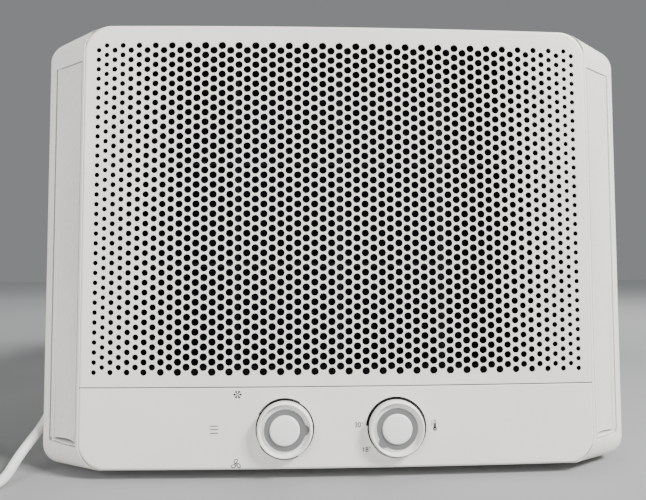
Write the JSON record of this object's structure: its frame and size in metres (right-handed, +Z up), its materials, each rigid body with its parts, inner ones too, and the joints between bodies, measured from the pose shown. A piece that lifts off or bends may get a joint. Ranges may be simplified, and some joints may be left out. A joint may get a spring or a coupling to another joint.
{
  "type": "window air conditioner",
  "caption": "Window room air conditioner with a perforated front grille, slanted side wings with air flaps, rotary dials, a louvred steel cabinet and a coiled mains cord.",
  "frame": {"origin": "on the surface that the unit stands on, below the middle of the unit's own box, cord and plug not counted", "axes": "+Z up, +X to the right of a person who faces the front, -Y towards the room (the dials point along -Y)"},
  "size_m": [0.6675, 0.561, 0.3713],
  "materials": {
    "front_plastic": "fine moulded texture, satin off-white",
    "flap_plastic": "smooth satin off-white",
    "dial_plastic": "smooth satin white",
    "dial_grey": "satin mid grey",
    "case_paint": "powder-coated off-white sheet steel",
    "galvanised": "galvanised sheet steel",
    "screw_steel": "zinc-plated steel",
    "shaft_steel": "turned steel",
    "black_plastic": "moulded dark plastic",
    "white_foam": "expanded foam and white plastic",
    "filter_net": "fine plastic net",
    "fin_aluminium": "thin pressed fins",
    "copper": "drawn copper tube",
    "motor_grey": "grey enamelled steel",
    "compressor_black": "black enamelled steel",
    "rubber": "moulded black rubber",
    "cord_white": "soft white cord sheath",
    "pin_metal": "nickel-plated brass"
  },
  "bodies": {
    "chassis": {"base_pan": "case_paint", "cabinet": "case_paint", "rear_guard": "case_paint", "front_frame": "front_plastic", "control_panel": "front_plastic", "mode_switch": "black_plastic", "thermostat": "fin_aluminium", "sensing_bulb": "copper", "control_bracket": "galvanised", "run_capacitor": "fin_aluminium", "evaporator_fins": "fin_aluminium", "evaporator_plates": "galvanised", "evaporator_bends": "copper", "drain_tray": "white_foam", "left_duct_wall": "white_foam", "right_duct_wall": "white_foam", "blower_housing": "white_foam", "bulkhead": "galvanised", "fan_motor": "motor_grey", "motor_bracket": "galvanised", "condenser_shroud": "white_foam", "condenser_fins": "fin_aluminium", "condenser_plates": "galvanised", "condenser_bends": "copper", "compressor": "compressor_black", "compressor_feet": "rubber", "compressor_nuts": "screw_steel", "terminal_cover": "black_plastic", "accumulator": "compressor_black", "refrigerant_pipes": "copper", "filter_drier": "copper", "drain_spout": "black_plastic", "cabinet_screws": "screw_steel", "guard_screws": "screw_steel", "bracket_screws": "screw_steel", "strain_relief": "cord_white", "power_cord": "cord_white", "cord_coil": "cord_white", "cord_tie": "black_plastic", "plug_body": "cord_white", "plug_pins": "pin_metal", "air_seal": "rubber"},
    "grille": {"front_grille": "front_plastic"},
    "left_flap": {"left_flap": "flap_plastic"},
    "right_flap": {"right_flap": "flap_plastic"},
    "mode_dial": {"mode_dial": "dial_plastic", "mode_dial_ring": "dial_grey", "mode_shaft": "shaft_steel"},
    "temperature_dial": {"temperature_dial": "dial_plastic", "temperature_dial_ring": "dial_grey", "thermostat_shaft": "shaft_steel"},
    "rotor": {"motor_shaft": "shaft_steel", "blower_wheel": "black_plastic", "condenser_fan": "black_plastic"},
    "filter": {"filter_frame": "black_plastic", "filter_mesh": "filter_net"}
  },
  "joints": [
    {"name": "grille_hinge", "type": "hinge", "parent": "chassis", "child": "grille", "pos_m": [0, -0.2478, 0.368], "axis": [-1, 0, 0], "range_deg": [0, 60]},
    {"name": "left_flap_hinge", "type": "hinge", "parent": "chassis", "child": "left_flap", "pos_m": [-0.23888, -0.22899, 0.18], "axis": [0, 0, -1], "range_deg": [0, 70]},
    {"name": "right_flap_hinge", "type": "hinge", "parent": "chassis", "child": "right_flap", "pos_m": [0.23888, -0.22899, 0.18], "axis": [0, 0, 1], "range_deg": [0, 70]},
    {"name": "mode_dial_turn", "type": "hinge", "parent": "chassis", "child": "mode_dial", "pos_m": [-0.045, -0.25, 0.0405], "axis": [0, 1, 0], "range_deg": [0, 300]},
    {"name": "temperature_dial_turn", "type": "hinge", "parent": "chassis", "child": "temperature_dial", "pos_m": [0.045, -0.25, 0.0405], "axis": [0, 1, 0], "range_deg": [-315, 0]},
    {"name": "fan_spin", "type": "hinge", "parent": "chassis", "child": "rotor", "pos_m": [-0.04, 0, 0.19], "axis": [0, 1, 0], "continuous": true},
    {"name": "filter_slide", "type": "slide", "parent": "chassis", "child": "filter", "axis": [0, 0, 1], "range_m": [0, 0.26]}
  ]
}
